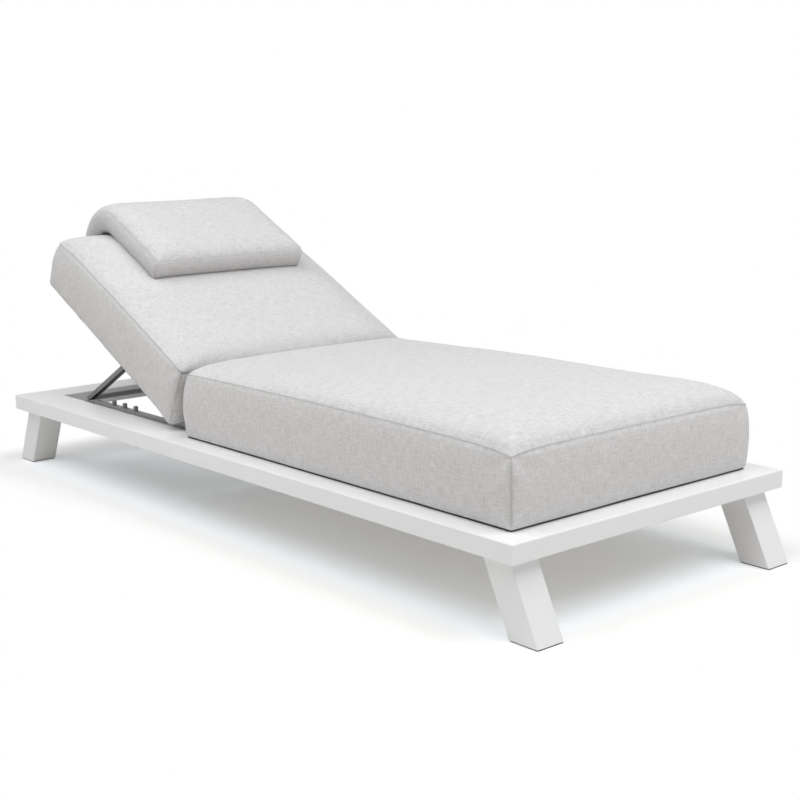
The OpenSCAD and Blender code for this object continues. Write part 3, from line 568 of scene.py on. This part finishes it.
# away from the hinge end its top is filled a little fuller
fuller = np.clip((points[:, 2] - seat_side) / crown, 0, 1)
fuller = fuller * np.clip(points[:, 0] / fuller_run, 0, 1)
points[:, 0] += seat_head
points[:, 2] += seat_floor + seat_fuller * fuller
# painted shade: the cover's lowest ring, along the board, is darkened for the shadow in the gap
# under the cushion
under = points[:, 2] < seat_floor + base_high
seat_cover = sew("seat_cushion_cover", points, faces, np.where(under, under_shade, mark), cut_at)
fill_out(seat_cover, np.where(points[:, 2] < seat_floor + base_held, 1.0, hold), reach=0.003)
finish_cover(seat_cover, ripple=0.0012, seed=0.0)
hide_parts("seat_cushion")
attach(seat_cover, "base")

# ---------------------------------------------------------------- back cushion
# The same boxed cover on a shorter block. Its lower end leans on the seat
# cushion, so it squeezes there as the back is raised.
hinge = Vector((-0.2573808, 0.0, 0.196))
back_tilt = math.radians(26.3)
back_start = 0.0052
back_floor = 0.0208
back_length = 0.6755
back_width = 0.698
back_side = 0.143
back_lean = 0.014
back_roll = (0.005, 0.005)
back_dip = (0.060, 0.5)
back_turns = (0.018, 0.011)
back_frame_side = 0.268
hang_deep, hang_across, hang_along, hang_high = 0.009, 0.030, 0.055, 0.09


def in_back(p):
    """Points given along the back and square to it, from the hinge, put in place."""
    p = np.asarray(p, float).reshape(-1, 3)
    c, s = math.cos(back_tilt), math.sin(back_tilt)
    return np.column_stack((
        hinge.x - p[:, 0] * c + p[:, 2] * s,
        p[:, 1],
        hinge.z + p[:, 0] * s + p[:, 2] * c,
    ))


points, faces, hold, mark, cut_at = cover_form(
    back_length, back_width, back_side, lean=back_lean, roll=back_roll, dip=back_dip,
    falls=corner_falls, turns=back_turns, seams=(1, 0), welt=True,
)
held = np.where(points[:, 2] < base_held, 1.0, hold)
# the cover hangs a little where it passes the frame's sides at the lower end
past = np.clip((np.abs(points[:, 1]) - back_frame_side) / hang_across, 0, 1)
hang = past * past * (3 - 2 * past) * np.exp(-(points[:, 0] / hang_along) ** 2)
points[:, 2] -= hang_deep * hang * np.clip(1 - points[:, 2] / hang_high, 0, 1) ** 2
points = in_back(points + np.array([back_start, 0, back_floor]))
faces = [(f[0], *reversed(f[1:])) for f in faces]
back_cover = sew("back_cushion_cover", points, faces, mark, cut_at)
fill_out(back_cover, held, reach=0.003)
finish_cover(back_cover, ripple=0.0012, seed=3.7)
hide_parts("back_cushion")
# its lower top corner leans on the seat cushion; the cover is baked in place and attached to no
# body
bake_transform(back_cover)

# ---------------------------------------------------------------- head pillow
# A flat boxed pad that lies on the back cushion, bends over its head end and
# hangs down behind it as a counterweight.
pillow_width = 0.668 * back_width
pillow_thick = 0.049
pillow_rise = 0.025
pillow_start = 0.367
pillow_bend = 0.074
pillow_flap = 0.090
pillow_gap = 0.0006
pillow_fill = 0.06
pillow_bunch = 0.07
pillow_corner = 0.009
pillow_bulge = 0.0035
pillow_insets = (0.0085, 0.0036, 0.0004)
pillow_tuck = 0.003
pillow_edge_run = 0.011
pillow_seam, pillow_sink = 0.0014, 0.0006
# painted shade on the pillow's side panels: a little all over, more towards their bottom
pillow_side_shade, pillow_low_shade = 0.1, 1.1
pillow_rings = [0, 0.0020, 0.0048, 0.010, 0.017, 0.027]
pillow_layers = [0, 0.0018, 0.0055, 0.013, 0.021, 0.029, 0.037, 0.0438, 0.0468, pillow_thick]
pillow_floor = back_floor + back_side + crown + pillow_gap
pillow_turn = math.radians(90) - math.atan(back_lean / back_side)
pillow_low = pillow_floor - pillow_bend * (1 - math.cos(pillow_turn))
pillow_far = (
    back_start + back_length + side_swell + pillow_gap
    + back_lean * (0.5 - (pillow_low - back_floor) / back_side)
)
pillow_bend_at = pillow_far - pillow_bend * math.sin(pillow_turn)
run_length = pillow_bend_at - pillow_start
bend_length = pillow_bend * pillow_turn
pillow_length = run_length + bend_length + pillow_flap


def pillow_path(s):
    """Place and turn of the pillow's underside at a distance from its front edge."""
    turn = np.clip((s - run_length) / pillow_bend, 0, pillow_turn)
    u = pillow_start + np.minimum(s, run_length) + pillow_bend * np.sin(turn)
    w = pillow_floor - pillow_bend * (1 - np.cos(turn))
    rest = np.maximum(s - run_length - bend_length, 0)
    return u + rest * math.cos(pillow_turn), w - rest * math.sin(pillow_turn), turn


ps = steps_between(pillow_length, pillow_rings, 0.0105)
pw = steps_between(pillow_width, pillow_rings, 0.013)
pt = np.array(pillow_layers)
lattice, faces = skin(len(ps) - 1, len(pw) - 1, len(pt) - 1)
i, j, k = lattice.T
s, y, t = ps[i], pw[j] - pillow_width / 2, pt[k].copy()
last = (len(ps) - 1, len(pw) - 1, len(pt) - 1)
end, side = np.isin(i, (0, last[0])), np.isin(j, (0, last[1]))
edge, top = end | side, k == last[2]
half = pillow_length / 2
px, py = rounded(s - half, y, half, pillow_width / 2, pillow_corner)
dx = np.where(end, np.sign(s - half), 0.0)
dy = np.where(side, np.sign(y), 0.0)
size = np.maximum(np.hypot(dx, dy), 1e-9)
dx, dy = dx / size, dy / size
level = t / pillow_thick

# its side panels bulge, are drawn in at the bottom, and lean in at the front
out = np.where(edge, pillow_bulge * np.sin(np.pi * level), 0)
for layer, inset in enumerate(pillow_insets):
    out = np.where(edge & (k == layer), -inset, out)
out = out - pillow_tuck * (1 - level) * (end & (s < half))
px, py = px + dx * out, py + dy * out

# its top is crowned, less so over the bend
from_s, from_y = half - np.abs(s - half), pillow_width / 2 - np.abs(y)
left_s = np.exp(-np.power(np.maximum(from_s, 0) / pillow_edge_run, 0.85))
left_y = np.exp(-np.power(np.maximum(from_y, 0) / pillow_edge_run, 0.85))
left = np.where(edge, 1, np.minimum((left_s ** 4 + left_y ** 4) ** 0.25, 1))
turn = pillow_path(px + half)[2]
rise = pillow_rise * (1 - left) * (1 - 0.5 * np.sin(turn))
t = np.where(top, t + rise, t)

# its seams pull it in, and their painted shade spreads a little; its side panels carry painted
# shade that grows towards their bottom
hold = np.where(top & edge, 1.0, 0.0)
hold = np.where(end & side & (s < half) & (k > 1), 1.0, hold)
py = py - dy * pillow_seam * hold
px_in = dx * pillow_seam * hold
mark = np.where(top, near_seam(np.minimum(from_s, from_y)), near_seam(pillow_thick - pt[k]) * edge)
mark = np.maximum(mark, seam_shade * hold)
# painted shade on the side panels, darker towards their bottom
mark = mark + (pillow_side_shade + pillow_low_shade * (1 - level)) * edge

# laid along its path, fuller in the run and in the middle of the bend
u, w, turn = pillow_path(px + half - px_in)
t = t - np.where(top & edge, pillow_sink, 0)
t = t * (1 + pillow_fill * np.cos(turn) ** 2 + pillow_bunch * np.sin(2 * turn) ** 2)
sag = crown * crown_left(back_width / 2 - np.abs(y), 1) * np.cos(turn)
points = in_back(np.column_stack((u + t * np.sin(turn), py, w + t * np.cos(turn) - sag)))
faces = [(f[0], *reversed(f[1:])) for f in faces]
pillow_cover = sew("head_pillow_cover", points, faces, mark, (s, y, pt[k]))
fill_out(pillow_cover, np.where(k == 0, 1.0, hold), reach=0.0025)
finish_cover(pillow_cover, ripple=0.0009, seed=7.1)
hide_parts("head_pillow")
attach(pillow_cover, "pillow")

# ---------------------------------------------------------------- studio
# A wide white floor that takes the lounger's shadow and runs into a white
# backdrop, with painted shadow and a painted glow on it near the lounger, a dim
# even sky that shows as white, and three soft lamps above.
bpy.ops.object.select_all(action="DESELECT")
bpy.ops.mesh.primitive_circle_add(vertices=96, radius=40, fill_type="NGON", location=(0, 0, 0))
floor = bpy.context.active_object
floor.name = "studio_floor"
floor_finish, floor_tree, floor_shader = new_finish("studio_floor")
floor_shader.inputs["Base Color"].default_value = (0.865, 0.85, 0.828, 1)
floor_shader.inputs["Roughness"].default_value = 0.9
floor_shader.inputs["Specular IOR Level"].default_value = 0.0
floor_place = add_node(floor_tree, "ShaderNodeTexCoord").outputs["Object"]


def vector_step(kind, value, other=None):
    made = add_node(floor_tree, "ShaderNodeVectorMath", [(value, 0)], operation=kind)
    if other is not None:
        made.inputs[1].default_value = other
    return made.outputs["Value" if kind == "LENGTH" else "Vector"]


def smooth_from(value, near, far):
    return add_node(
        floor_tree, "ShaderNodeMapRange", [(value, "Value")],
        in_From_Min=near, in_From_Max=far, in_To_Min=0.0, in_To_Max=1.0,
        interpolation_type="SMOOTHSTEP",
    ).outputs["Result"]


# how far a place on the floor lies outside the platform: under it and just past
# its edge the floor is tinted cool to take the warm cast out of its shadow, a
# little further out a darker grey band is painted shadow that widens the shadow's
# soft tail, and the floor then runs out to plain white
floor_past = vector_step("SUBTRACT", vector_step("ABSOLUTE", floor_place), (0.93, 0.335, 0.0))
floor_far = vector_step("LENGTH", vector_step("MAXIMUM", floor_past, (0.0, 0.0, 0.0)))
floor_fade = smooth_from(floor_far, 0.13, 0.27)
floor_shadow_band = smooth_from(floor_far, 0.03, 0.11)
floor_shadow_tone = add_node(floor_tree, "ShaderNodeMix", data_type="RGBA")
floor_tree.links.new(floor_shadow_band, floor_shadow_tone.inputs["Factor"])
floor_shadow_tone.inputs["A"].default_value = (0.92, 0.97, 1.0, 1)
floor_shadow_tone.inputs["B"].default_value = (0.80, 0.792, 0.78, 1)
floor_shade = add_node(floor_tree, "ShaderNodeBsdfDiffuse")
floor_tree.links.new(floor_shadow_tone.outputs["Result"], floor_shade.inputs["Color"])
# painted light: the seen floor near the lounger glows a little, which lifts its shadow
floor_shadow_lift = add_node(floor_tree, "ShaderNodeEmission", in_Strength=0.26)
floor_shadow_lift.inputs["Color"].default_value = (1, 1, 1, 1)
floor_near = add_node(floor_tree, "ShaderNodeAddShader")
floor_tree.links.new(floor_shade.outputs["BSDF"], floor_near.inputs[0])
floor_tree.links.new(floor_shadow_lift.outputs["Emission"], floor_near.inputs[1])
floor_white = add_node(floor_tree, "ShaderNodeEmission", in_Strength=1.0)
floor_white.inputs["Color"].default_value = (1, 1, 1, 1)
floor_seen = add_node(floor_tree, "ShaderNodeMixShader", [(floor_fade, 0)])
floor_tree.links.new(floor_near.outputs["Shader"], floor_seen.inputs[1])
floor_tree.links.new(floor_white.outputs["Emission"], floor_seen.inputs[2])


def seen_rays(tree):
    """1 for the rays that show a surface: from the camera, in a reflection, through glass."""
    rays = add_node(tree, "ShaderNodeLightPath")
    direct = add_node(tree, "ShaderNodeMath", operation="MAXIMUM")
    tree.links.new(rays.outputs["Is Camera Ray"], direct.inputs[0])
    tree.links.new(rays.outputs["Is Glossy Ray"], direct.inputs[1])
    every = add_node(tree, "ShaderNodeMath", operation="MAXIMUM")
    tree.links.new(direct.outputs["Value"], every.inputs[0])
    tree.links.new(rays.outputs["Is Transmission Ray"], every.inputs[1])
    return every.outputs["Value"]


floor_mix = add_node(floor_tree, "ShaderNodeMixShader", [(seen_rays(floor_tree), 0)])
floor_tree.links.new(floor_shader.outputs["BSDF"], floor_mix.inputs[1])
floor_tree.links.new(floor_seen.outputs["Shader"], floor_mix.inputs[2])
floor_out = floor_tree.nodes["Material Output"]
floor_tree.links.new(floor_mix.outputs["Shader"], floor_out.inputs["Surface"])
floor.data.materials.append(floor_finish)
floor.select_set(False)

sky = bpy.data.worlds.new("studio_sky")
bpy.context.scene.world = sky
sky.use_nodes = True
sky_tree = sky.node_tree
sky_tree.nodes.clear()
sky_light = add_node(sky_tree, "ShaderNodeBackground", in_Strength=0.22)
sky_light.inputs["Color"].default_value = (1, 1, 1, 1)
sky_white = add_node(sky_tree, "ShaderNodeBackground", in_Strength=1.0)
sky_white.inputs["Color"].default_value = (1, 1, 1, 1)
sky_mix = add_node(sky_tree, "ShaderNodeMixShader", [(seen_rays(sky_tree), 0)])
sky_tree.links.new(sky_light.outputs["Background"], sky_mix.inputs[1])
sky_tree.links.new(sky_white.outputs["Background"], sky_mix.inputs[2])
add_node(sky_tree, "ShaderNodeOutputWorld", [(sky_mix.outputs["Shader"], "Surface")])


lamp_size = 2.6


def soft_lamp(name, place, watts):
    """A square lamp that looks at the middle of the lounger."""
    lamp = bpy.data.objects.new(name, bpy.data.lights.new(name, "AREA"))
    bpy.context.scene.collection.objects.link(lamp)
    lamp.data.shape = "SQUARE"
    lamp.data.size = lamp_size
    lamp.data.energy = watts
    lamp.data.color = (0.975, 0.985, 1.0)
    lamp.location = place
    lamp.rotation_mode = "QUATERNION"
    lamp.rotation_quaternion = (Vector((0, 0, 0.2)) - Vector(place)).to_track_quat("-Z", "Y")


soft_lamp("foot_lamp", (2.2, 0.6, 3.2), 77)
soft_lamp("near_lamp", (0.0, -1.8, 3.4), 58)
soft_lamp("head_lamp", (-1.6, -2.0, 2.6), 15)

bpy.context.scene.view_settings.view_transform = "Standard"
